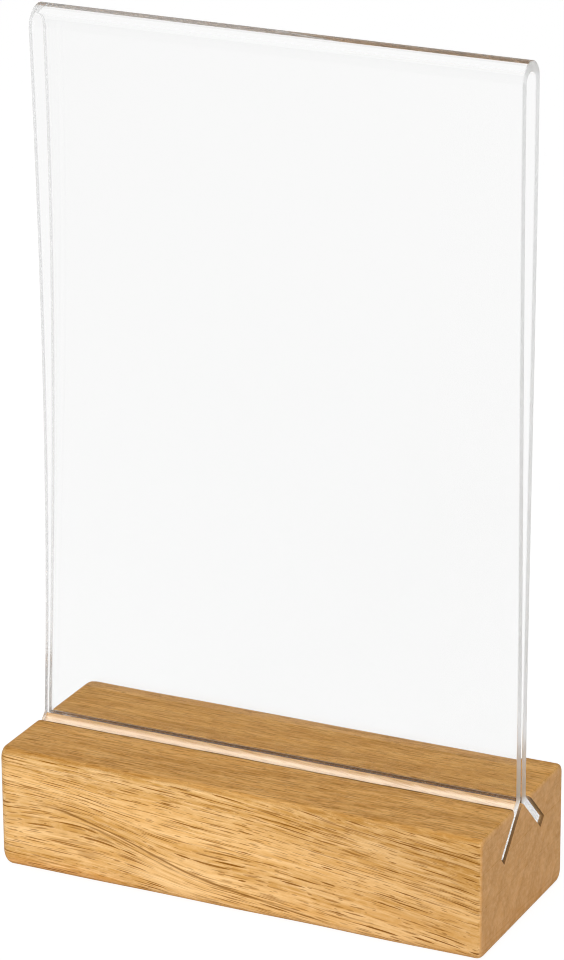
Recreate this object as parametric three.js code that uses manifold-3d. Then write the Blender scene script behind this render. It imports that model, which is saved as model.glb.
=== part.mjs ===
// Table sign holder: a clear folded sleeve for an upright card, keyed into a solid wooden base.
// Millimetres, +Z up. X runs along the base, +Y to the rear, and the origin is the middle of the underside.

import * as THREE from 'three';
import { mergeVertices } from 'three/addons/utils/BufferGeometryUtils.js';
import Module from 'manifold-3d';

// Card that the sleeve holds, an upright A6 sheet
const CARD_WIDTH = 105;
const CARD_HEIGHT = 148;
const CARD_HEADROOM = 1;

// Wooden base
const BASE_OVERHANG = 1;
const BASE_DEPTH = 42;
const BASE_HEIGHT = 26;
const EDGE_RADIUS = 1.5;
const CORNER_SOFTENING = 0.5;

// Clear sheet
const SHEET = 2;
const FOLD_INNER_RADIUS = 2.2;
const PINCH_GAP = 0.6;
const ELBOW_RADIUS = 0.3;
const ELBOW_RISE = 0.6;

// Legs of the sheet, leaning out from the vertical, and the kerfs in the base that they sit in.
// Each leg hugs the wedge between the kerfs and has more room on the side of the kerf's lip.
const LEG_ANGLE = THREE.MathUtils.degToRad(43);
const LEG_DEPTH = 9;
const WEDGE_CLEARANCE = 0.2;
const LIP_CLEARANCE = 0.5;
const KERF_END_ROOM = 0.8;

// Smoothness of the round edges
const EDGE_STEPS = 5;
const CURVE_STEPS = 10;
const CUT_MARGIN = 5;

// Sizes that follow from the ones above
const BASE_LENGTH = CARD_WIDTH + 2 * BASE_OVERHANG;
const SIN = Math.sin(LEG_ANGLE);
const COS = Math.cos(LEG_ANGLE);
const TAN = Math.tan(LEG_ANGLE);
const KERF_WIDTH = WEDGE_CLEARANCE + SHEET + LIP_CLEARANCE;
const FOLD_CENTRE_Z = BASE_HEIGHT + CARD_HEIGHT + CARD_HEADROOM - FOLD_INNER_RADIUS;

// Each elbow turns about a centre outside its panel.
// Its leg's inner face crosses the base's top face at the last of these.
const PANEL_INNER_Y = PINCH_GAP / 2;
const PANEL_OUTER_Y = PANEL_INNER_Y + SHEET;
const ELBOW_FAR_RADIUS = ELBOW_RADIUS + SHEET;
const ELBOW_Y = PANEL_OUTER_Y + ELBOW_RADIUS;
const ELBOW_Z = BASE_HEIGHT + ELBOW_RISE;
const LEG_INNER_Y = ELBOW_Y - ELBOW_FAR_RADIUS * COS + (ELBOW_RISE - ELBOW_FAR_RADIUS * SIN) * TAN;

const wasm = await Module();
wasm.setup();

function toSolid(geometry) {
  const bare = geometry.clone();
  bare.deleteAttribute('normal');
  bare.deleteAttribute('uv');
  const merged = mergeVertices(bare, 1e-4);
  const mesh = new wasm.Mesh({
    numProp: 3,
    vertProperties: new Float32Array(merged.attributes.position.array),
    triVerts: new Uint32Array(merged.index.array),
  });
  return new wasm.Manifold(mesh);
}

function toGeometry(solid) {
  const mesh = solid.getMesh();
  const geometry = new THREE.BufferGeometry();
  geometry.setAttribute('position', new THREE.BufferAttribute(mesh.vertProperties, 3));
  geometry.setIndex(new THREE.BufferAttribute(mesh.triVerts, 1));
  geometry.computeVertexNormals();
  return geometry;
}

// Extrudes an outline drawn in the (Y, Z) plane along X, centred on X = 0
function extrudeAlongX(outline, length) {
  const geometry = new THREE.ExtrudeGeometry(outline, {
    depth: length,
    bevelEnabled: false,
    curveSegments: CURVE_STEPS,
  });
  geometry.translate(0, 0, -length / 2);
  const outlineToWorld = new THREE.Matrix4().makeBasis(
    new THREE.Vector3(0, 1, 0),
    new THREE.Vector3(0, 0, 1),
    new THREE.Vector3(1, 0, 0),
  );
  return geometry.applyMatrix4(outlineToWorld);
}

// Block with round corners in plan and softened top and bottom edges
function blockGeometry() {
  const halfLength = BASE_LENGTH / 2 - EDGE_RADIUS;
  const halfDepth = BASE_DEPTH / 2 - EDGE_RADIUS;
  const r = CORNER_SOFTENING;
  const plan = new THREE.Shape();
  plan.moveTo(-halfLength + r, -halfDepth);
  plan.lineTo(halfLength - r, -halfDepth);
  plan.absarc(halfLength - r, -halfDepth + r, r, -Math.PI / 2, 0);
  plan.lineTo(halfLength, halfDepth - r);
  plan.absarc(halfLength - r, halfDepth - r, r, 0, Math.PI / 2);
  plan.lineTo(-halfLength + r, halfDepth);
  plan.absarc(-halfLength + r, halfDepth - r, r, Math.PI / 2, Math.PI);
  plan.lineTo(-halfLength, -halfDepth + r);
  plan.absarc(-halfLength + r, -halfDepth + r, r, Math.PI, 1.5 * Math.PI);
  const geometry = new THREE.ExtrudeGeometry(plan, {
    depth: BASE_HEIGHT - 2 * EDGE_RADIUS,
    bevelThickness: EDGE_RADIUS,
    bevelSize: EDGE_RADIUS,
    bevelSegments: EDGE_STEPS,
    curveSegments: EDGE_STEPS,
  });
  return geometry.translate(0, 0, EDGE_RADIUS);
}

// One straight kerf round a leg, from above the top face down to its square floor.
// Side is -1 for the front one and 1 for the rear one.
function kerfGeometry(side) {
  const floorZ = BASE_HEIGHT - LEG_DEPTH - KERF_END_ROOM;
  const openZ = BASE_HEIGHT + CUT_MARGIN;
  const wedgeWallY = (z) => LEG_INNER_Y - WEDGE_CLEARANCE / COS + (BASE_HEIGHT - z) * TAN;
  const outline = new THREE.Shape();
  outline.moveTo(side * wedgeWallY(floorZ), floorZ);
  outline.lineTo(side * (wedgeWallY(floorZ) + KERF_WIDTH * COS), floorZ + KERF_WIDTH * SIN);
  outline.lineTo(side * (wedgeWallY(openZ) + KERF_WIDTH / COS), openZ);
  outline.lineTo(side * wedgeWallY(openZ), openZ);
  return extrudeAlongX(outline, BASE_LENGTH + 2 * CUT_MARGIN);
}

function baseGeometry() {
  const front = toSolid(kerfGeometry(-1));
  const rear = toSolid(kerfGeometry(1));
  return toGeometry(toSolid(blockGeometry()).subtract(front).subtract(rear));
}

// Adds one face of a panel as an S-curve that leaves and arrives upright, as a sprung sheet does
function addPanelFace(outline, startY, startZ, endY, endZ) {
  const third = (endZ - startZ) / 3;
  outline.bezierCurveTo(startY, startZ + third, endY, endZ - third, endY, endZ);
}

// The folded sheet, drawn as one loop: up the rear, over the fold, down the front and back along the inside
function sleeveGeometry() {
  const foldOuterRadius = FOLD_INNER_RADIUS + SHEET;
  const legEndZ = BASE_HEIGHT - LEG_DEPTH;
  const legInnerEndY = LEG_INNER_Y + LEG_DEPTH * TAN;
  const legOuterEndY = legInnerEndY + SHEET * COS;
  const legOuterEndZ = legEndZ + SHEET * SIN;

  const outline = new THREE.Shape();
  outline.moveTo(legInnerEndY, legEndZ);
  outline.lineTo(legOuterEndY, legOuterEndZ);
  outline.absarc(ELBOW_Y, ELBOW_Z, ELBOW_RADIUS, Math.PI + LEG_ANGLE, Math.PI, true);
  addPanelFace(outline, PANEL_OUTER_Y, ELBOW_Z, foldOuterRadius, FOLD_CENTRE_Z);
  outline.absarc(0, FOLD_CENTRE_Z, foldOuterRadius, 0, Math.PI);
  addPanelFace(outline, -foldOuterRadius, FOLD_CENTRE_Z, -PANEL_OUTER_Y, ELBOW_Z);
  outline.absarc(-ELBOW_Y, ELBOW_Z, ELBOW_RADIUS, 0, -LEG_ANGLE, true);
  outline.lineTo(-legOuterEndY, legOuterEndZ);
  outline.lineTo(-legInnerEndY, legEndZ);
  outline.absarc(-ELBOW_Y, ELBOW_Z, ELBOW_FAR_RADIUS, -LEG_ANGLE, 0);
  addPanelFace(outline, -PANEL_INNER_Y, ELBOW_Z, -FOLD_INNER_RADIUS, FOLD_CENTRE_Z);
  outline.absarc(0, FOLD_CENTRE_Z, FOLD_INNER_RADIUS, Math.PI, 0, true);
  addPanelFace(outline, FOLD_INNER_RADIUS, FOLD_CENTRE_Z, PANEL_INNER_Y, ELBOW_Z);
  outline.absarc(ELBOW_Y, ELBOW_Z, ELBOW_FAR_RADIUS, Math.PI, Math.PI + LEG_ANGLE);
  return toGeometry(toSolid(extrudeAlongX(outline, CARD_WIDTH)));
}

const wood = new THREE.MeshStandardMaterial({ color: 0xd9a563, roughness: 0.6, metalness: 0 });
const clearAcrylic = new THREE.MeshStandardMaterial({
  color: 0xf4f7f7,
  roughness: 0.05,
  metalness: 0,
  transparent: true,
  opacity: 0.2,
});

const woodenBase = new THREE.Mesh(baseGeometry(), wood);
woodenBase.name = 'wooden_base';

const acrylicSleeve = new THREE.Mesh(sleeveGeometry(), clearAcrylic);
acrylicSleeve.name = 'acrylic_sleeve';

const signHolder = new THREE.Group();
signHolder.add(woodenBase, acrylicSleeve);

export default signHolder;
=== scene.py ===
import math
from collections import namedtuple
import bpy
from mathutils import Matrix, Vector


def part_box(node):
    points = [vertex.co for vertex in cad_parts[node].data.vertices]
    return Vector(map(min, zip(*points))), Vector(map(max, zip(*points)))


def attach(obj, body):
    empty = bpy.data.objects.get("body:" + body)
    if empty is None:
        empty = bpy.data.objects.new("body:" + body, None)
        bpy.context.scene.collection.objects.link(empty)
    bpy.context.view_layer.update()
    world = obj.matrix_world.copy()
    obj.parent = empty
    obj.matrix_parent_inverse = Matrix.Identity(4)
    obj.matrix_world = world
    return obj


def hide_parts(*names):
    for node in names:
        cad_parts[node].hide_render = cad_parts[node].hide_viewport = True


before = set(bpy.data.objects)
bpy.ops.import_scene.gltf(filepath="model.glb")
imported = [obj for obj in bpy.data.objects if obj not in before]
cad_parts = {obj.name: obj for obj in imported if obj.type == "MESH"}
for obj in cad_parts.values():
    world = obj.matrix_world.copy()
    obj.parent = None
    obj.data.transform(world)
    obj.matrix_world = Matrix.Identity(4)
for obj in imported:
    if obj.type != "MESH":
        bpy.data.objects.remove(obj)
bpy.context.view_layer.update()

from types import SimpleNamespace

import bmesh
import bpy
from mathutils import Matrix, Vector, noise

MM = 0.001

# Sizes in millimetres, as in the part's source. The fold's radius is that of the middle of the sheet.
base_low, base_high = (Vector(c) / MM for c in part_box("wooden_base"))
sleeve_low, sleeve_high = (Vector(c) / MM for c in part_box("acrylic_sleeve"))
BASE_TOP = base_high.z
SHEET = 2.0
FOLD_RADIUS = 3.2
PINCH_GAP = 0.6
ELBOW_RADIUS = 0.3
ELBOW_RISE = 0.6
LEG_ANGLE = math.radians(43)
LEG_DEPTH = 9.0
WEDGE_CLEARANCE = 0.2
LIP_CLEARANCE = 0.5
KERF_END_ROOM = 0.8
COS = math.cos(LEG_ANGLE)
ELBOW_Y = PINCH_GAP / 2 + SHEET + ELBOW_RADIUS
ELBOW_Z = BASE_TOP + ELBOW_RISE
FOLD_CENTRE_Z = sleeve_high.z - FOLD_RADIUS - SHEET / 2

# In the photo the two bends aren't alike. Against the source: how much higher each is, how far its panel
# stands out and how much more its leg leans. The rear kerf leans with its leg, which nearly touches the
# wedge, and the front of the wedge stands further forward.
FRONT_SEAT = (0.65, -0.1, 0.0)
REAR_SEAT = (-0.35, 0.15, math.radians(2.7))
REAR_CLEARANCE = 0.07
FRONT_WEDGE = 0.4


def leg_line(rise, shift, lean):
    """Angle of one leg, and y of its inner face at the height of the block's top."""
    angle = LEG_ANGLE + lean
    bend = ELBOW_RADIUS + SHEET
    drop = ELBOW_RISE + rise - bend * math.sin(angle)
    return angle, ELBOW_Y + shift - bend * math.cos(angle) + drop * math.tan(angle)


def leg_depth(angle):
    """Depth of the leg's foot below the block's top. A leg that leans more is as long and so less deep."""
    return LEG_DEPTH * math.cos(angle) / COS


# Where the source has the inner face of a leg and the lip of its kerf, at the block's top
_, LEG_INNER_Y = leg_line(0.0, 0.0, 0.0)
LIP_Y = LEG_INNER_Y + (SHEET + LIP_CLEARANCE) / COS


def smoothstep(t):
    t = min(max(t, 0.0), 1.0)
    return t * t * (3 - 2 * t)


class Nodes:
    """Short ways to add nodes to a shader's tree."""

    def __init__(self, tree):
        self.tree = tree

    def new(self, kind, **settings):
        node = self.tree.nodes.new(kind)
        for name, value in settings.items():
            setattr(node, name, value)
        return node

    def put(self, socket, value):
        if isinstance(value, bpy.types.NodeSocket):
            self.tree.links.new(value, socket)
        elif value is not None:
            socket.default_value = value

    def math(self, operation, a, b=None, c=None):
        node = self.new("ShaderNodeMath", operation=operation)
        for socket, value in zip(node.inputs, (a, b, c)):
            self.put(socket, value)
        return node.outputs[0]

    def times(self, *values):
        result = values[0]
        for value in values[1:]:
            result = self.math("MULTIPLY", result, value)
        return result

    def without(self, value, share):
        return self.math("SUBTRACT", 1.0, self.math("MULTIPLY", value, share))

    def step(self, value, low, high, at_low=0.0, at_high=1.0):
        """Goes smoothly from at_low to at_high while the value goes from low to high."""
        node = self.new("ShaderNodeMapRange", interpolation_type="SMOOTHSTEP")
        names = ("Value", "From Min", "From Max", "To Min", "To Max")
        for name, setting in zip(names, (value, low, high, at_low, at_high)):
            self.put(node.inputs[name], setting)
        return node.outputs[0]

    def spot(self, x, z, middle, squeeze):
        """Squared distance from the middle of a spot, with x and z squeezed so that 1 is near its rim."""
        dx, dz = (
            self.math("POWER", self.times(self.math("SUBTRACT", place, centre), factor), 2.0)
            for place, centre, factor in zip((x, z), middle, squeeze)
        )
        return self.math("ADD", dx, dz)

    def join(self, x, y, z):
        node = self.new("ShaderNodeCombineXYZ")
        for socket, value in zip(node.inputs, (x, y, z)):
            self.put(socket, value)
        return node.outputs[0]

    def split(self, vector):
        node = self.new("ShaderNodeSeparateXYZ")
        self.put(node.inputs[0], vector)
        return node.outputs

    def noise(self, vector, detail, roughness):
        node = self.new("ShaderNodeTexNoise", noise_dimensions="3D")
        self.put(node.inputs["Vector"], vector)
        self.put(node.inputs["Scale"], 1.0)
        self.put(node.inputs["Detail"], detail)
        self.put(node.inputs["Roughness"], roughness)
        return node.outputs[0]

    def mix(self, amount, a, b, blend="MIX"):
        # A mix node's colours go in at its sockets 6 and 7 and come out at 2
        node = self.new("ShaderNodeMix", data_type="RGBA", blend_type=blend)
        self.put(node.inputs[0], amount)
        self.put(node.inputs[6], (*a, 1.0) if isinstance(a, tuple) else a)
        self.put(node.inputs[7], (*b, 1.0) if isinstance(b, tuple) else b)
        return node.outputs[2]

    def tint(self, amount, colour, tint):
        return self.mix(amount, colour, self.mix(1.0, colour, tint, "MULTIPLY"))

    def mix_shaders(self, amount, a, b):
        node = self.new("ShaderNodeMixShader")
        for socket, value in zip(node.inputs, (amount, a, b)):
            self.put(socket, value)
        return node.outputs[0]


def new_material(name):
    material = bpy.data.materials.new(name)
    material.use_nodes = True
    tree = material.node_tree
    return material, Nodes(tree), tree.nodes["Principled BSDF"], tree.nodes["Material Output"]


# Tones of the oiled faces, and of the raw wood in the kerfs near the top and deeper down
Tones = namedtuple("Tones", "pale mid dark pore")
OILED = Tones((0.965, 0.655, 0.325), (0.755, 0.422, 0.134), (0.53, 0.26, 0.046), (0.235, 0.082, 0.001))
RAW_HIGH = Tones((0.88, 0.69, 0.51), (0.86, 0.66, 0.47), (0.80, 0.58, 0.40), (0.62, 0.42, 0.25))
RAW_DEEP = Tones((0.92, 0.64, 0.36), (0.90, 0.60, 0.32), (0.85, 0.54, 0.27), (0.62, 0.42, 0.25))
RAW_HIGH_Z, RAW_DEEP_Z = BASE_TOP - 1.4, BASE_TOP - 4.0
# Painted shade: the top faces are darkened by their facing, for the top getting less light than the front,
# and their hue is warmed
TOP_SHADE_TINT = (0.87, 0.76, 0.55)
END_TINT = (0.91, 0.835, 0.85)
WOOD_DULLNESS, PORE_DULLNESS, WOOD_SPECULAR = (0.58, 0.48), 0.2, 0.2

# A face is an end, the top or the front by its normal's X, Z or Y: where it begins to count and is full.
# What shows on the sides is weaker by these shares on the top and on the ends.
END_FACING, TOP_FACING, FRONT_FACING = (0.55, 0.9), (0.5, 0.9), (-0.6, -0.9)
TOP_LOSS, END_LOSS = 0.35, 0.9

# The dark line of the grain that sweeps down the front: its height at x = 0 but for the swerve, its even
# fall to the right, and half of how far it swerves between two places. Fibres within reach above and below
# it swerve with it, and those further below by a small share.
LINE_HEIGHT, LINE_FALL = 7.105, -0.142
SWERVE_FROM, SWERVE_TO, SWERVE_HALF = -38.5, -3.8, 2.245
REACH_ABOVE, REACH_BELOW, SHARE_BELOW = 9, -8, 0.1
# All fibres fall to the right, more so further right, drift to the front and wander a little
FIBRE_FALL, FIBRE_FALL_GROWTH, FIBRE_DRIFT = -0.085, -0.0006, 0.01
WANDER, WANDER_SIDEWAYS = 1.2, 0.3
WANDER_ALONG, WANDER_ACROSS = 0.035, 0.07

# Growth rings round a far pith, by its y and z: rings per millimetre, how far they waver, and the parts of a
# ring over which it darkens and ends
PITH_Y, PITH_Z = 70.0, -45.0
RINGS, RING_WAVER = 0.19, 5.0
RING_DARKENS, RING_ENDS = (0.35, 0.92), (1.0, 0.94)

# Noise in the wood: waves per millimetre along and across the fibres, shift, detail and roughness
NOISES = {
    "waver": (0.02, 0.12, 3.0, 2, 0.5),
    "bands": (0.012, 0.22, 11.0, 3, 0.55),
    "streaks": (0.045, 1.2, 5.0, 3, 0.65),
    "hairs": (0.07, 2.8, 2.0, 2, 0.6),
    "glints": (0.08, 2.3, 77.0, 2, 0.6),
    "mottle": (0.4, 0.9, 8.0, 3, 0.7),
    "crowds": (0.02, 0.25, 21.0, 2, 0.5),
    "grain": (0.45, 3.4, 31.0, 2, 0.7),
}

# Pores, two sizes each of long and fine ones: cells per millimetre along and across the fibres, shift of the
# pattern, longest half-length and thickest half-width
PORES = ((0.04, 1.2, 0.0, 9.5, 0.155), (0.058, 1.5, 17.0, 6.6, 0.15))
FINE_PORES = ((0.09, 2.0, 40.0, 3.6, 0.14), (0.14, 2.4, 63.0, 2.2, 0.13))
# Shares of those that the shortest, the thinnest and the faintest pore has, and the blur of a pore's rim.
# Pores are shorter where they are less crowded: where the crowds' noise begins to count and is full.
SHORTEST, THINNEST, FAINTEST = 0.2, 0.4, 0.35
PORE_RIM = (-0.02, 0.04)
CROWDING, LEAST_CROWDED = (0.34, 0.60), 0.6
# On the top face the pores are shorter, and their pattern is another part of the same one
TOP_SHORTENING, TOP_PATTERN_SHIFT = 0.9, 60.0
PORE_DEPTH, HAIR_DEPTH, BUMP_STRENGTH = 0.04, 0.02, 0.6


def needles(nodes, run, level, crowd, along, across, shift, longest, thickest):
    cells = nodes.new("ShaderNodeTexVoronoi", voronoi_dimensions="2D", feature="F1")
    cell_x = nodes.math("MULTIPLY_ADD", run, along, shift)
    cell_y = nodes.times(level, across)
    nodes.put(cells.inputs["Vector"], nodes.join(cell_x, cell_y, 0.0))
    cells.inputs["Scale"].default_value = 1.0
    length, depth, thickness = nodes.split(cells.outputs["Color"])
    middle_x, middle_y, _ = nodes.split(cells.outputs["Position"])
    half = nodes.times(nodes.math("MULTIPLY_ADD", length, 1 - SHORTEST, SHORTEST), longest, crowd, along)
    reach = nodes.math("DIVIDE", nodes.math("SUBTRACT", cell_x, middle_x), half)
    taper = nodes.math("SUBTRACT", 1.0, nodes.times(reach, reach))
    thick = nodes.times(nodes.math("MULTIPLY_ADD", thickness, 1 - THINNEST, THINNEST), thickest)
    aside = nodes.math("ABSOLUTE", nodes.math("DIVIDE", nodes.math("SUBTRACT", cell_y, middle_y), across))
    inside = nodes.math("MULTIPLY_ADD", thick, taper, nodes.math("MULTIPLY", aside, -1.0))
    return nodes.times(nodes.step(inside, *PORE_RIM), nodes.step(depth, 0.0, 0.9, FAINTEST, 1.0))


def wood_fields(nodes):
    """Places in millimetres, faces, fibres along X, noise, growth rings and pores of the wood."""
    wood = SimpleNamespace()
    coords = nodes.new("ShaderNodeTexCoord")
    scaled = nodes.new("ShaderNodeVectorMath", operation="SCALE")
    nodes.put(scaled.inputs[0], coords.outputs["Object"])
    scaled.inputs["Scale"].default_value = 1 / MM
    wood.x, wood.y, wood.z = nodes.split(scaled.outputs[0])
    normal_x, normal_y, normal_z = nodes.split(coords.outputs["Normal"])
    wood.end = nodes.step(nodes.math("ABSOLUTE", normal_x), *END_FACING)
    wood.top = nodes.step(nodes.math("ABSOLUTE", normal_z), *TOP_FACING)
    wood.front = nodes.step(normal_y, *FRONT_FACING)
    wood.sides = nodes.times(nodes.without(wood.top, TOP_LOSS), nodes.without(wood.end, END_LOSS))

    # Height and depth of each place's fibre, with the fibres' own paths taken out
    swerve = nodes.step(wood.x, SWERVE_FROM, SWERVE_TO, SWERVE_HALF, -SWERVE_HALF)
    line_z = nodes.math("ADD", nodes.math("MULTIPLY_ADD", wood.x, LINE_FALL, LINE_HEIGHT), swerve)
    wood.above_line = nodes.math("SUBTRACT", wood.z, line_z)
    from_below = nodes.step(wood.above_line, REACH_BELOW, 0, SHARE_BELOW, 1.0)
    reach = nodes.times(nodes.step(wood.above_line, REACH_ABOVE, 0), from_below)
    slope = nodes.math("MULTIPLY_ADD", wood.x, FIBRE_FALL_GROWTH, FIBRE_FALL)
    sweep = nodes.math("MULTIPLY_ADD", wood.x, slope, nodes.times(swerve, reach))
    pace = (WANDER_ALONG, WANDER_ACROSS, WANDER_ACROSS)
    places = nodes.join(*(nodes.times(c, k) for c, k in zip((wood.x, wood.y, wood.z), pace)))
    wander = nodes.times(nodes.math("SUBTRACT", nodes.noise(places, 1, 0.5), 0.5), WANDER)
    fibre_z = nodes.math("SUBTRACT", nodes.math("SUBTRACT", wood.z, sweep), wander)
    drifted = nodes.math("MULTIPLY_ADD", wood.x, FIBRE_DRIFT, wood.y)
    fibre_y = nodes.math("ADD", drifted, nodes.times(wander, WANDER_SIDEWAYS))

    for name, (along, across, shift, detail, roughness) in NOISES.items():
        here = nodes.math("MULTIPLY_ADD", wood.x, along, shift)
        vector = nodes.join(here, nodes.times(fibre_y, across), nodes.times(fibre_z, across))
        setattr(wood, name, nodes.noise(vector, detail, roughness))

    # Each ring darkens slowly towards its outer border
    pith_y = nodes.math("SUBTRACT", fibre_y, PITH_Y)
    pith_z = nodes.math("SUBTRACT", fibre_z, PITH_Z)
    radius = nodes.math("SQRT", nodes.math("ADD", nodes.times(pith_y, pith_y), nodes.times(pith_z, pith_z)))
    wavering = nodes.math("MULTIPLY_ADD", wood.waver, RING_WAVER, radius)
    phase = nodes.math("FRACT", nodes.times(wavering, RINGS))
    wood.late = nodes.times(nodes.step(phase, *RING_DARKENS), nodes.step(phase, *RING_ENDS))

    # Pores are thin needles along the fibres, one per cell of a flat pattern laid on each face
    top_level = nodes.times(nodes.math("ADD", fibre_y, TOP_PATTERN_SHIFT), wood.top)
    level = nodes.math("ADD", nodes.times(fibre_z, nodes.without(wood.top, 1.0)), top_level)
    run = nodes.times(wood.x, nodes.math("MULTIPLY_ADD", wood.top, TOP_SHORTENING, 1.0))
    crowd = nodes.step(wood.crowds, *CROWDING, LEAST_CROWDED, 1.0)
    for name, sizes in (("pores", PORES), ("fine_pores", FINE_PORES)):
        both = nodes.math("MAXIMUM", *(needles(nodes, run, level, crowd, *size) for size in sizes))
        setattr(wood, name, both)
    return wood


def grain_colour(nodes, wood, tones):
    """The grain without the marks of one place, in layers that each cover the ones before them.

    A step says where a layer's noise begins and is full, and how much of the layer there is at both. The
    ends lose a share of most layers.
    """
    bands = nodes.math("MAXIMUM", nodes.step(wood.bands, 0.32, 0.60), nodes.times(wood.end, 0.72))
    streaks = nodes.step(wood.streaks, 0.36, 0.72, 0.08, 0.66)
    glints = nodes.step(wood.glints, 0.54, 0.68)
    mottle = nodes.step(wood.mottle, 0.44, 0.70, 0.0, 0.3)
    hairs = nodes.step(wood.hairs, 0.52, 0.68)
    grain = nodes.step(wood.grain, 0.5, 0.72, 0.0, 0.22)
    layers = (
        (nodes.times(streaks, nodes.without(wood.end, 0.45)), tones.pale),
        (nodes.times(wood.late, nodes.without(wood.end, 0.4), 0.36), tones.dark),
        (nodes.times(glints, wood.sides, 0.5), tones.pale),
        (nodes.times(mottle, nodes.without(wood.end, 0.5)), tones.pale),
        (nodes.times(hairs, wood.sides, 0.4), tones.dark),
        (nodes.times(grain, nodes.without(wood.end, 0.6)), tones.dark),
        (nodes.times(wood.fine_pores, wood.sides, 0.62), tones.pore),
        (nodes.times(wood.pores, wood.sides, 0.92), tones.pore),
    )
    colour = nodes.mix(bands, tones.dark, tones.mid)
    for amount, tone in layers:
        colour = nodes.mix(amount, colour, tone)
    return colour


# Marks on the front, by x and z: a smudge and a pale patch, each with its middle, squeeze and rim, a darker
# tint towards the right, and a redder lower edge to the left. An amount is the most that a mark covers.
SMUDGE, SMUDGE_SQUEEZE, SMUDGE_RIM = (-33.0, 6.5), (0.36, 0.75), (1.3, 0.0)
SMUDGE_AMOUNT, SMUDGE_TONE = 0.5, (0.36, 0.165, 0.035)
PATCH, PATCH_SQUEEZE, PATCH_RIM, PATCH_AMOUNT = (-12.0, 5.0), (0.085, 0.2), (1.2, 0.1), 0.5
RIGHTWARD_X, RIGHTWARD_TINT = (-12, 48), (0.85, 0.82, 0.78)
LOW_X, LOW_Z, LOW_AMOUNT, LOW_TINT = (-18, -34), (4.0, 0.8), 0.5, (1.0, 0.80, 0.62)
# The dark line and a fainter one below it: half-widths with their blur, where they fade in and out, and tone
LINE_HALF, LINE_IN, LINE_OUT = (0.34, 0.10), (-48, -36), (26, 8)
SECOND_HALF, SECOND_IN, SECOND_OUT = (0.3, 0.08), (-38, -32), (-8, -16)
SECOND_DROP, SECOND_SHARE = 1.0, 0.8
LINE_WOBBLE, LINE_AMOUNT, LINE_TONE = 0.9, 0.8, (0.235, 0.095, 0.011)
# Painted shade along the lip of the front kerf, a dark streaky strip standing in for the shadowed gap
# between the leg and the lip: distance from the lip, half-width with its blur, and tone
LIP_SHADE_OFFSET, LIP_SHADE_HALF, LIP_SHADE_TONE = 0.8, (0.68, 0.28), (0.16, 0.066, 0.011)
LIP_SHADE_Z = (BASE_TOP - 1.6, BASE_TOP - 0.8)
# Painted shade a little way into the ends of the kerfs, darkening their walls where they lie in shadow, and
# oil over the ridge between them
KERF_END_SHADE_X, KERF_END_SHADE_AMOUNT, KERF_END_SHADE_TONE = (base_high.x - 1.2, base_high.x - 0.3), 0.85, (0.16, 0.07, 0.014)
RIDGE_Z, RIDGE_Y, RIDGE_TONE = (BASE_TOP - 1.1, BASE_TOP - 0.6), (1.6, 1.2), (0.46, 0.25, 0.085)


def grain_lines(nodes, wood):
    """The dark line that sweeps down the front and the fainter one below it."""
    def line(offset, half, fade_in, fade_out):
        width = nodes.step(nodes.math("ABSOLUTE", offset), *half)
        return nodes.times(width, nodes.step(wood.x, *fade_in), nodes.step(wood.x, *fade_out))

    wobbling = nodes.times(nodes.math("SUBTRACT", wood.streaks, 0.5), LINE_WOBBLE)
    above = nodes.math("SUBTRACT", wood.above_line, wobbling)
    first = line(above, LINE_HALF, LINE_IN, LINE_OUT)
    second = line(nodes.math("ADD", above, SECOND_DROP), SECOND_HALF, SECOND_IN, SECOND_OUT)
    both = nodes.math("MAXIMUM", first, nodes.times(second, SECOND_SHARE))
    strands = nodes.step(wood.hairs, 0.28, 0.5, 0.25, 1.0)
    return nodes.times(both, strands, wood.front)


def oiled_colour(nodes, wood):
    colour = grain_colour(nodes, wood, OILED)
    smudge = nodes.step(nodes.spot(wood.x, wood.z, SMUDGE, SMUDGE_SQUEEZE), *SMUDGE_RIM)
    uneven = nodes.step(wood.mottle, 0.3, 0.6, 0.5, 1.0)
    colour = nodes.mix(nodes.times(smudge, wood.front, uneven, SMUDGE_AMOUNT), colour, SMUDGE_TONE)
    colour = nodes.tint(nodes.times(nodes.step(wood.x, *RIGHTWARD_X), wood.front), colour, RIGHTWARD_TINT)
    patch = nodes.step(nodes.spot(wood.x, wood.z, PATCH, PATCH_SQUEEZE), *PATCH_RIM)
    strands = nodes.step(wood.hairs, 0.36, 0.62, 1.0, 0.3)
    patch = nodes.times(patch, wood.front, nodes.without(wood.pores, 1.0), strands, PATCH_AMOUNT)
    colour = nodes.mix(patch, colour, OILED.pale)
    colour = nodes.mix(nodes.times(grain_lines(nodes, wood), LINE_AMOUNT), colour, LINE_TONE)
    low = nodes.times(nodes.step(wood.x, *LOW_X), nodes.step(wood.z, *LOW_Z), wood.front)
    colour = nodes.tint(nodes.times(low, LOW_AMOUNT), colour, LOW_TINT)
    # Painted shade on the top faces, by their facing
    colour = nodes.tint(wood.top, colour, TOP_SHADE_TINT)
    colour = nodes.tint(wood.end, colour, END_TINT)
    # Painted shade: a dark strip along the front kerf's lip, for the gap there that lies in shadow
    lip = nodes.step(nodes.math("ABSOLUTE", nodes.math("ADD", wood.y, LIP_Y + LIP_SHADE_OFFSET)), *LIP_SHADE_HALF)
    strands = nodes.step(wood.hairs, 0.3, 0.6, 0.55, 0.9)
    painted_lip_shade = nodes.times(lip, nodes.step(wood.z, *LIP_SHADE_Z), nodes.without(wood.end, 1.0), strands)
    return nodes.mix(painted_lip_shade, colour, LIP_SHADE_TONE)


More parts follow.
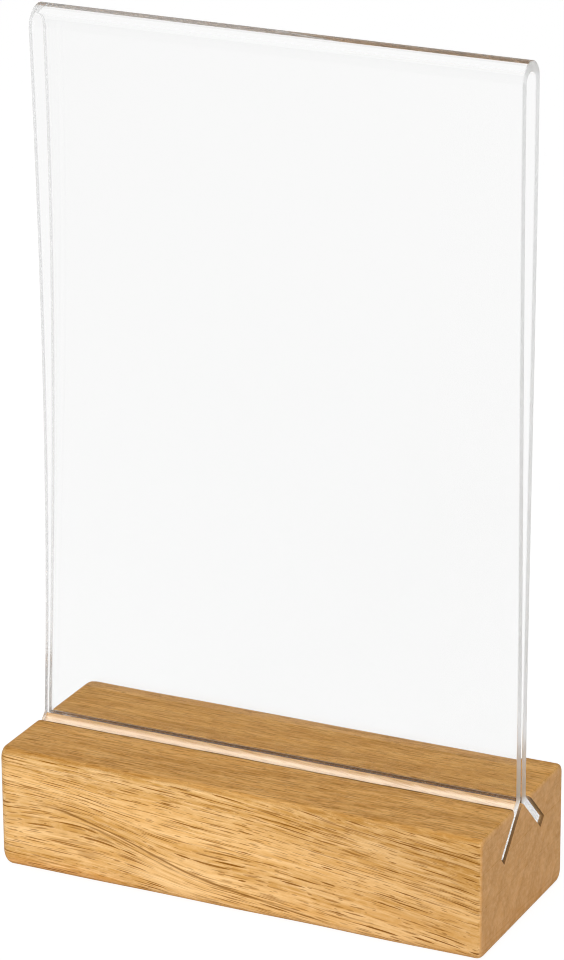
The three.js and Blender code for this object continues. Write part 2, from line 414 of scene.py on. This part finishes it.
def sawn_colour(nodes, wood):
    deep = nodes.step(wood.z, RAW_HIGH_Z, RAW_DEEP_Z)
    colour = grain_colour(nodes, wood, Tones(*(nodes.mix(deep, *pair) for pair in zip(RAW_HIGH, RAW_DEEP))))
    # Painted shade: the raw walls of the kerfs are darkened near the block's ends, where they lie in shadow
    run = nodes.step(nodes.math("ABSOLUTE", wood.x), *KERF_END_SHADE_X)
    colour = nodes.mix(nodes.times(run, KERF_END_SHADE_AMOUNT), colour, KERF_END_SHADE_TONE)
    ridge = nodes.times(nodes.step(wood.z, *RIDGE_Z), nodes.step(nodes.math("ABSOLUTE", wood.y), *RIDGE_Y))
    return nodes.mix(nodes.times(ridge, nodes.step(wood.hairs, 0.3, 0.7, 0.6, 1.0)), colour, RIDGE_TONE)


def wood_material(name, colour_of):
    material, nodes, shader, _ = new_material(name)
    wood = wood_fields(nodes)
    nodes.put(shader.inputs["Base Color"], colour_of(nodes, wood))
    dullness = nodes.step(wood.streaks, 0.3, 0.7, *WOOD_DULLNESS)
    nodes.put(shader.inputs["Roughness"], nodes.math("MULTIPLY_ADD", wood.pores, PORE_DULLNESS, dullness))
    shader.inputs["Specular IOR Level"].default_value = WOOD_SPECULAR
    bump = nodes.new("ShaderNodeBump")
    bump.inputs["Strength"].default_value = BUMP_STRENGTH
    bump.inputs["Distance"].default_value = MM
    hair_relief = nodes.times(wood.hairs, -HAIR_DEPTH)
    relief = nodes.math("MULTIPLY_ADD", nodes.times(wood.pores, wood.sides), -PORE_DEPTH, hair_relief)
    nodes.put(bump.inputs["Height"], relief)
    nodes.put(shader.inputs["Normal"], bump.outputs[0])
    return material


# The acrylic's tint on its faces and cut edges, and the share of a lamp's light that each face lets through
ACRYLIC_IOR = 1.49
FACE_TINT = (0.987, 0.988, 0.987)
EDGE_TINT = (0.93, 0.94, 0.935)
LAMP_SHARE = 0.72
# Dullness of the cut edges by height: the legs are rubbed smoother by sliding in the kerfs, the heat of the
# bend has left the edge dull above them, and further up it is as the saw left it
LEG_DULL, BEND_DULL, UPPER_CLEARING = 0.24, 0.8, 0.42
BEND_ZONE = (BASE_TOP - 1.2, BASE_TOP + 1.0)
UPPER_ZONE = (BASE_TOP + 7, BASE_TOP + 16)


def acrylic_material(name, tint, cut=False):
    """Clear acrylic that lets lamps through to what is behind it."""
    material, nodes, shader, output = new_material(name)
    shader.inputs["Base Color"].default_value = (*tint, 1.0)
    shader.inputs["Roughness"].default_value = 0.0
    if cut:
        coords = nodes.new("ShaderNodeTexCoord")
        height = nodes.math("DIVIDE", nodes.split(coords.outputs["Object"])[2], MM)
        bend = nodes.step(height, *BEND_ZONE, LEG_DULL, BEND_DULL)
        upper = nodes.step(height, *UPPER_ZONE, 0.0, UPPER_CLEARING)
        nodes.put(shader.inputs["Roughness"], nodes.math("SUBTRACT", bend, upper))
    shader.inputs["IOR"].default_value = ACRYLIC_IOR
    shader.inputs["Transmission Weight"].default_value = 1.0
    clear = nodes.new("ShaderNodeBsdfTransparent")
    clear.inputs["Color"].default_value = (LAMP_SHARE, LAMP_SHARE, LAMP_SHARE, 1.0)
    shadow = nodes.new("ShaderNodeLightPath").outputs["Is Shadow Ray"]
    nodes.put(output.inputs["Surface"], nodes.mix_shaders(shadow, shader.outputs[0], clear.outputs[0]))
    return material


def make_object(name, bm, materials, sharp_angle):
    bmesh.ops.recalc_face_normals(bm, faces=bm.faces)
    mesh = bpy.data.meshes.new(name)
    bm.to_mesh(mesh)
    bm.free()
    for material in materials:
        mesh.materials.append(material)
    mesh.polygons.foreach_set("use_smooth", [True] * len(mesh.polygons))
    mesh.set_sharp_from_angle(angle=math.radians(sharp_angle))
    obj = bpy.data.objects.new(name, mesh)
    bpy.context.scene.collection.objects.link(obj)
    return obj


def rounded_outline(corners):
    """A closed outline of (y, z) points, and what each stretch from point to point belongs to.

    A corner has y, z, a radius, the steps of its round and the cuts of the side that follows it.
    """
    count = len(corners)
    arcs = []
    for i, (y, z, radius, steps, _) in enumerate(corners):
        here = Vector((y, z))
        before = (Vector(corners[i - 1][:2]) - here).normalized()
        after = (Vector(corners[(i + 1) % count][:2]) - here).normalized()
        half = math.acos(max(-1.0, min(1.0, before.dot(after)))) / 2
        reach = radius / math.tan(half)
        centre = here + (before + after).normalized() * (radius / math.sin(half))
        start = here + before * reach - centre
        turn = math.pi - 2 * half
        if before.x * after.y - before.y * after.x > 0:
            turn = -turn
        arcs.append([centre + Matrix.Rotation(turn * k / steps, 2) @ start for k in range(steps + 1)])
    points, stretches = [], []
    for i, arc in enumerate(arcs):
        cuts = corners[i][4]
        points += arc
        stretches += [("corner", i)] * (len(arc) - 1) + [("side", i)] * cuts
        start, stop = arc[-1], arcs[(i + 1) % count][0]
        points += [start.lerp(stop, k / cuts) for k in range(1, cuts)]
    return points, stretches


def round_off(distance, radius):
    """How far a face has drawn back, this far from the end of a block whose edge has this radius."""
    inside = max(radius - distance, 0.0)
    return radius - math.sqrt(max(radius * radius - inside * inside, 0.0))


# The block's edges are softened by hand and so not alike. Along the block: front bottom, rear bottom, rear
# top and front top. At its left and right end: front upright, rear upright, top and bottom.
EDGE_RADII, EDGE_UNEVEN, EDGE_PERIOD = (2.4, 1.9, 1.5, 1.8), 0.35, 19.0
END_RADII = {-1: (2.3, 2.6, 1.3, 2.3), 1: (0.9, 1.3, 0.8, 1.5)}
# Lips of the kerfs, worn at the front and crisp at the rear: radius, unevenness and seed of their wobble
FRONT_LIP, FRONT_LIP_UNEVEN, FRONT_LIP_SEED = 0.42, 0.08, 9
REAR_LIP, REAR_LIP_UNEVEN, REAR_LIP_SEED = 0.2, 0.05, 11
LIP_PERIOD = 6.0
# The kerfs' floors, and the blunt ridge of the wedge between them
FLOOR_RADIUS = 0.15
RIDGE_HALF, RIDGE_RADIUS, RIDGE_ROUNDING = 0.08, 0.22, 1.6
# Numbers of the section's corners at the kerfs' lips, between which the saw has left raw wood, and of the
# side along the ridge
REAR_LIP_CORNER, RIDGE_SIDE, FRONT_LIP_CORNER = 3, 6, 10
# Steps of the rounds, and cuts of the sides
EDGE_STEPS, LIP_STEPS, FLOOR_STEPS = 6, 3, 2
BOTTOM_CUTS, UPRIGHT_CUTS, TOP_CUTS, WALL_CUTS, FLOOR_CUTS, RIDGE_CUTS = 20, 12, 10, 5, 1, 2
# Sections along the block: more of them towards an end, within this length
END_LENGTH, END_SECTIONS, MIDDLE_SECTIONS = 3.0, 14, 54
CAP_INSET = 0.2
# Spacing of the seeds in the noise that a wobble is read from, and the plane that it is read in
SEED_SPACING, WOBBLE_PLANE = 7.3, 1.7


def wobble(t, seed, period):
    return noise.noise(Vector((t / period, SEED_SPACING * seed, WOBBLE_PLANE)))


def kerf_corners(angle, wedge_y, width, high_z):
    """A kerf's lip, its floor's outer and inner corner and its ridge. Its wedge side starts at wedge_y."""
    sin, cos, tan = math.sin(angle), math.cos(angle), math.tan(angle)
    floor_z = BASE_TOP - leg_depth(angle) - KERF_END_ROOM * cos / COS
    lip = (wedge_y + (BASE_TOP - high_z) * tan + width / cos, high_z)
    deep = (wedge_y + (BASE_TOP - floor_z) * tan, floor_z)
    deep_out = (deep[0] + width * cos, deep[1] + width * sin)
    ridge_y = max(RIDGE_HALF, wedge_y + (BASE_TOP - high_z) * tan)
    ridge = (ridge_y, min(high_z, BASE_TOP + (wedge_y - ridge_y) / tan))
    return lip, deep_out, deep, ridge


def rear_kerf(high_z):
    angle, leg_y = leg_line(*REAR_SEAT)
    wedge_y = leg_y - REAR_CLEARANCE / math.cos(angle)
    return kerf_corners(angle, wedge_y, REAR_CLEARANCE + SHEET + LIP_CLEARANCE, high_z)


def front_kerf(high_z):
    wedge_y = LEG_INNER_Y - WEDGE_CLEARANCE / COS
    corners = kerf_corners(LEG_ANGLE, wedge_y, WEDGE_CLEARANCE + SHEET + LIP_CLEARANCE, high_z)
    lip, deep_out, deep, ridge = ((-y, z) for y, z in corners)
    return lip, deep_out, (deep[0] - FRONT_WEDGE, deep[1]), (ridge[0] - FRONT_WEDGE, ridge[1])


def base_section(x):
    """The block's outline at x, counter-clockwise seen from +X, with its two kerfs."""
    end = -1 if x < 0 else 1
    distance = max(0.0, (base_high.x if end > 0 else -base_low.x) - abs(x))
    front, rear, top, bottom = (round_off(distance, r) for r in END_RADII[end])
    low_y, high_y = base_low.y + front, base_high.y - rear
    low_z, high_z = base_low.z + bottom, base_high.z - top
    edges = [radius + EDGE_UNEVEN * wobble(x, k, EDGE_PERIOD) for k, radius in enumerate(EDGE_RADII, 1)]
    worn = FRONT_LIP + FRONT_LIP_UNEVEN * wobble(x, FRONT_LIP_SEED, LIP_PERIOD)
    crisp = REAR_LIP + REAR_LIP_UNEVEN * wobble(x, REAR_LIP_SEED, LIP_PERIOD)
    lip, deep_out, deep, ridge = rear_kerf(high_z)
    front_lip, front_deep_out, front_deep, front_ridge = front_kerf(high_z)
    ridge_radius = min(RIDGE_RADIUS, RIDGE_ROUNDING * ridge[0])
    return rounded_outline([
        (low_y, low_z, edges[0], EDGE_STEPS, BOTTOM_CUTS),
        (high_y, low_z, edges[1], EDGE_STEPS, UPRIGHT_CUTS),
        (high_y, high_z, edges[2], EDGE_STEPS, TOP_CUTS),
        (*lip, crisp, LIP_STEPS, WALL_CUTS),
        (*deep_out, FLOOR_RADIUS, FLOOR_STEPS, FLOOR_CUTS),
        (*deep, FLOOR_RADIUS, FLOOR_STEPS, WALL_CUTS),
        (*ridge, ridge_radius, LIP_STEPS, RIDGE_CUTS),
        (*front_ridge, ridge_radius, LIP_STEPS, WALL_CUTS),
        (*front_deep, FLOOR_RADIUS, FLOOR_STEPS, FLOOR_CUTS),
        (*front_deep_out, FLOOR_RADIUS, FLOOR_STEPS, WALL_CUTS),
        (*front_lip, worn, LIP_STEPS, TOP_CUTS),
        (low_y, high_z, edges[3], EDGE_STEPS, UPRIGHT_CUTS),
    ])


def is_raw(kind, number):
    """Whether a corner or side of the section is inside a kerf. The ridge's own flat is oiled."""
    if kind == "corner":
        return REAR_LIP_CORNER < number < FRONT_LIP_CORNER
    return REAR_LIP_CORNER <= number < FRONT_LIP_CORNER and number != RIDGE_SIDE


def wooden_block():
    bm = bmesh.new()
    near_end = [END_LENGTH * (k / END_SECTIONS) ** 2 for k in range(END_SECTIONS + 1)]
    middle = base_high.x - END_LENGTH
    stations = [base_low.x + d for d in near_end]
    stations += [-middle + 2 * middle * k / MIDDLE_SECTIONS for k in range(1, MIDDLE_SECTIONS)]
    stations += [base_high.x - d for d in reversed(near_end)]
    rings = []
    for x in stations:
        points, stretches = base_section(x)
        rings.append([bm.verts.new((x * MM, p.x * MM, p.y * MM)) for p in points])
    count = len(stretches)
    for a, b in zip(rings, rings[1:]):
        for i in range(count):
            j = (i + 1) % count
            face = bm.faces.new((a[i], a[j], b[j], b[i]))
            face.material_index = 1 if is_raw(*stretches[i]) else 0
    for ring in (rings[0], rings[-1]):
        cap = bm.faces.new(ring)
        bmesh.ops.inset_individual(bm, faces=[cap], thickness=CAP_INSET * MM)
    bmesh.ops.triangulate(bm, faces=[face for face in bm.faces if len(face.verts) > 4])
    materials = (wood_material("oiled_wood", oiled_colour), wood_material("sawn_wood", sawn_colour))
    block = make_object("oiled_wood_block", bm, materials, sharp_angle=38)
    even = block.modifiers.new("even_normals", "WEIGHTED_NORMAL")
    even.keep_sharp = True
    return block


# The bend is drawn tighter on its inner face than a sheet of even thickness has it, and the crown of the
# fold is thicker on the inside
INNER_BEND = 0.8
CROWN = 0.15
# Steps along one half of the sheet's section
LEG_STEPS, BEND_STEPS, PANEL_STEPS, FOLD_STEPS = 6, 18, 60, 24


def half_section(rise, shift, lean):
    """Pairs of points on the outer and inner face of one half of the sheet, from its foot to the crown."""
    angle, leg_inner_y = leg_line(rise, shift, lean)
    across = Vector((math.cos(angle), math.sin(angle)))
    inner_y = PINCH_GAP / 2 + shift
    depth = leg_depth(angle)
    foot = Vector((leg_inner_y + depth * math.tan(angle), BASE_TOP - depth))
    outer_foot = foot + SHEET * across
    corner_z = BASE_TOP + (leg_inner_y - inner_y) / math.tan(angle)
    inner_centre = Vector((inner_y + INNER_BEND, corner_z + INNER_BEND * math.tan(angle / 2)))
    outer_centre = Vector((ELBOW_Y + shift, ELBOW_Z + rise))
    inner_start = inner_centre - INNER_BEND * across
    outer_start = outer_centre - ELBOW_RADIUS * across
    half = []
    for k in range(LEG_STEPS):
        t = k / LEG_STEPS
        half.append((outer_foot.lerp(outer_start, t), foot.lerp(inner_start, t)))
    for k in range(BEND_STEPS + 1):
        a = angle * (1 - k / BEND_STEPS)
        out = Vector((math.cos(a), math.sin(a)))
        half.append((outer_centre - ELBOW_RADIUS * out, inner_centre - INNER_BEND * out))
    spread = FOLD_RADIUS - inner_y - SHEET / 2
    outer_from, inner_from = half[-1][0].y, half[-1][1].y

    def panel(y, from_z, t):
        z = from_z + (FOLD_CENTRE_Z - from_z) * t
        return Vector((y + spread * smoothstep((z - ELBOW_Z) / (FOLD_CENTRE_Z - ELBOW_Z)), z))

    for k in range(1, PANEL_STEPS + 1):
        t = k / PANEL_STEPS
        half.append((panel(inner_y + SHEET, outer_from, t), panel(inner_y, inner_from, t)))
    fold_centre = Vector((0, FOLD_CENTRE_Z))
    for k in range(1, FOLD_STEPS + 1):
        a = math.pi / 2 * k / FOLD_STEPS
        out = Vector((math.cos(a), math.sin(a)))
        inner_radius = FOLD_RADIUS - SHEET / 2 - CROWN * math.sin(a) ** 2
        half.append((fold_centre + (FOLD_RADIUS + SHEET / 2) * out, fold_centre + inner_radius * out))
    return half


def sheet_faces():
    """Pairs of points on the sheet's outer and inner face, from the rear foot over the fold to the front."""
    front = half_section(*FRONT_SEAT)
    mirrored = [tuple(Vector((-p.x, p.y)) for p in pair) for pair in reversed(front[:-1])]
    return half_section(*REAR_SEAT) + mirrored


# In the photo the sleeve stands a little to the right in its kerfs and leans back by a hair.
# Its left edge isn't cut quite straight: it stands out at the foot and is hollow above.
SLEEVE_SHIFT = 0.54
LEAN = 0.5
LEFT_FOOT = -0.7
LEFT_TOP = 0.65
LEFT_HOLLOW = 1.3
EDGE_BREAK = 0.12


def folded_sheet():
    bm = bmesh.new()
    pairs = sheet_faces()
    last = len(pairs) - 1

    def vertex(x, p, crooked):
        t = min(max((p.y - ELBOW_Z) / (FOLD_CENTRE_Z - ELBOW_Z), 0.0), 1.0)
        bow = crooked * (LEFT_FOOT * (1 - t) + LEFT_TOP * t + LEFT_HOLLOW * 4 * t * (1 - t))
        return bm.verts.new(((x + bow) * MM, (p.x + LEAN * smoothstep(t)) * MM, p.y * MM))

    def ring(x, draw_in, crooked):
        """The sheet's section at x, drawn in on all sides: along the outer face and back along the inner."""
        outer_points, inner_points = [], []
        for i, (outer, inner) in enumerate(pairs):
            through = (outer - inner).normalized() * draw_in
            along = Vector((0, 0))
            if i in (0, last):
                along = (pairs[1 if i == 0 else last - 1][0] - outer).normalized() * draw_in
            outer_points.append(outer - through + along)
            inner_points.append(inner + through + along)
        return [vertex(x, p, crooked) for p in outer_points + inner_points[::-1]]

    left, right = sleeve_low.x + SLEEVE_SHIFT, sleeve_high.x + SLEEVE_SHIFT
    rings = [
        ring(left, EDGE_BREAK, 1),
        ring(left + EDGE_BREAK, 0.0, 1),
        ring(right - EDGE_BREAK, 0.0, 0),
        ring(right, EDGE_BREAK, 0),
    ]
    count = len(rings[0])
    for k, (a, b) in enumerate(zip(rings, rings[1:])):
        for i in range(count):
            j = (i + 1) % count
            face = bm.faces.new((a[i], a[j], b[j], b[i]))
            face.material_index = 0 if k == 1 and i not in (last, count - 1) else 1
    for cap in (rings[0], rings[-1]):
        for i in range(last):
            face = bm.faces.new((cap[i], cap[i + 1], cap[count - 2 - i], cap[count - 1 - i]))
            face.material_index = 1
    clear = acrylic_material("clear_acrylic_face", FACE_TINT)
    edge = acrylic_material("acrylic_cut_edge", EDGE_TINT, cut=True)
    return make_object("folded_acrylic_sheet", bm, (clear, edge), sharp_angle=30)


block = wooden_block()
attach(block, "base")
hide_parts("wooden_base")

sheet = folded_sheet()
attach(sheet, "sleeve")
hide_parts("acrylic_sleeve")


# The studio, in metres. The floor lies a hair below the block, so that the two faces don't flicker.
FLOOR_HALF, FLOOR_DROP, FLOOR_TOUCH = 20, 0.00005, 0.0004
FLOOR_COLOUR, FLOOR_ROUGHNESS = (0.85, 0.85, 0.85, 1), 0.9
# Brightness of the floor's white where it is seen, how much less it is through the acrylic, and its share
FLOOR_GLOW, GLOW_LOSS, GLOW_SHARE = 1.12, -0.045, 0.8
WHITE = (1, 1, 1, 1)
FILL = 0.5
KEY_PLACE, KEY_SIZE, KEY_POWER, KEY_TARGET = (0.30, -1.32, 0.75), 0.9, 16, (0, 0, 0.06)


def seen_directly(nodes):
    """1 for rays from the camera and for those that came through the acrylic."""
    path = nodes.new("ShaderNodeLightPath")
    return nodes.math("MAXIMUM", path.outputs["Is Camera Ray"], path.outputs["Is Transmission Ray"])


def floor_material():
    material, nodes, shader, output = new_material("pale_floor")
    shader.inputs["Base Color"].default_value = FLOOR_COLOUR
    shader.inputs["Roughness"].default_value = FLOOR_ROUGHNESS
    shader.inputs["Specular IOR Level"].default_value = 0.0
    path = nodes.new("ShaderNodeLightPath")
    glow = nodes.new("ShaderNodeEmission")
    glow.inputs["Color"].default_value = WHITE
    strength = nodes.math("MULTIPLY_ADD", path.outputs["Is Transmission Ray"], GLOW_LOSS, FLOOR_GLOW)
    nodes.put(glow.inputs["Strength"], strength)
    shown = nodes.math("MULTIPLY", seen_directly(nodes), GLOW_SHARE)
    paper = nodes.mix_shaders(shown, shader.outputs[0], glow.outputs[0])
    # Seen from below, the floor is clear, and it lets light up to the face that stands on it
    below = nodes.new("ShaderNodeNewGeometry").outputs["Backfacing"]
    touching = nodes.math("LESS_THAN", path.outputs["Ray Length"], FLOOR_TOUCH)
    clear = nodes.new("ShaderNodeBsdfTransparent")
    surface = nodes.mix_shaders(nodes.math("MAXIMUM", below, touching), paper, clear.outputs[0])
    nodes.put(output.inputs["Surface"], surface)
    return material


def studio_floor():
    bm = bmesh.new()
    bmesh.ops.create_grid(bm, x_segments=1, y_segments=1, size=FLOOR_HALF)
    floor = make_object("studio_floor", bm, (floor_material(),), sharp_angle=30)
    floor.location.z = -FLOOR_DROP


def studio_world():
    """White where it is seen, and a softer fill for the light on the object."""
    world = bpy.data.worlds.new("studio")
    world.use_nodes = True
    nodes = Nodes(world.node_tree)
    background = world.node_tree.nodes["Background"]
    background.inputs["Color"].default_value = WHITE
    strength = nodes.new("ShaderNodeMix", data_type="FLOAT")
    nodes.put(strength.inputs[0], seen_directly(nodes))
    strength.inputs[2].default_value = FILL
    strength.inputs[3].default_value = 1.0
    nodes.put(background.inputs["Strength"], strength.outputs[0])
    bpy.context.scene.world = world


def key_lamp():
    lamp = bpy.data.lights.new("key", "AREA")
    lamp.shape = "RECTANGLE"
    lamp.size = lamp.size_y = KEY_SIZE
    lamp.energy = KEY_POWER
    obj = bpy.data.objects.new("key", lamp)
    obj.location = KEY_PLACE
    obj.rotation_euler = (Vector(KEY_TARGET) - Vector(KEY_PLACE)).to_track_quat("-Z", "Y").to_euler()
    obj.visible_camera = False
    obj.visible_glossy = False
    bpy.context.scene.collection.objects.link(obj)


# Camera fitted to the photo's edges: focal length in pixels of the 564 x 960 frame, angles and place
FRAME_HEIGHT = 960
FOCAL = 4593.5
YAW, PITCH, ROLL = math.radians(-25.775), math.radians(20.629), math.radians(0.395)
CAMERA_PLACE = (0.37041, -0.76483, 0.40541)
SENSOR = 36
FAR_CLIP = 100


def photo_camera():
    forward = Vector((math.cos(PITCH) * math.sin(YAW), math.cos(PITCH) * math.cos(YAW), -math.sin(PITCH)))
    right = forward.cross(Vector((0, 0, 1))).normalized()
    down = forward.cross(right)
    image_x = math.cos(ROLL) * right + math.sin(ROLL) * down
    image_y = math.sin(ROLL) * right - math.cos(ROLL) * down
    data = bpy.data.cameras.new("photo_camera")
    data.sensor_width = SENSOR
    data.lens = FOCAL / FRAME_HEIGHT * SENSOR
    data.clip_end = FAR_CLIP
    camera = bpy.data.objects.new("photo_camera", data)
    turn = Matrix((image_x, image_y, -forward)).transposed().to_4x4()
    camera.matrix_world = Matrix.Translation(Vector(CAMERA_PLACE)) @ turn
    bpy.context.scene.collection.objects.link(camera)
    bpy.context.scene.camera = camera


studio_floor()
studio_world()
key_lamp()
photo_camera()

# Light goes round inside the sheet many times before it leaves
BOUNCES = 160
PIXEL_FILTER = 1.1
scene = bpy.context.scene
scene.view_settings.view_transform = "Standard"
scene.cycles.use_denoising = True
scene.cycles.filter_width = PIXEL_FILTER
scene.cycles.max_bounces = BOUNCES
scene.cycles.transmission_bounces = BOUNCES
scene.cycles.glossy_bounces = BOUNCES
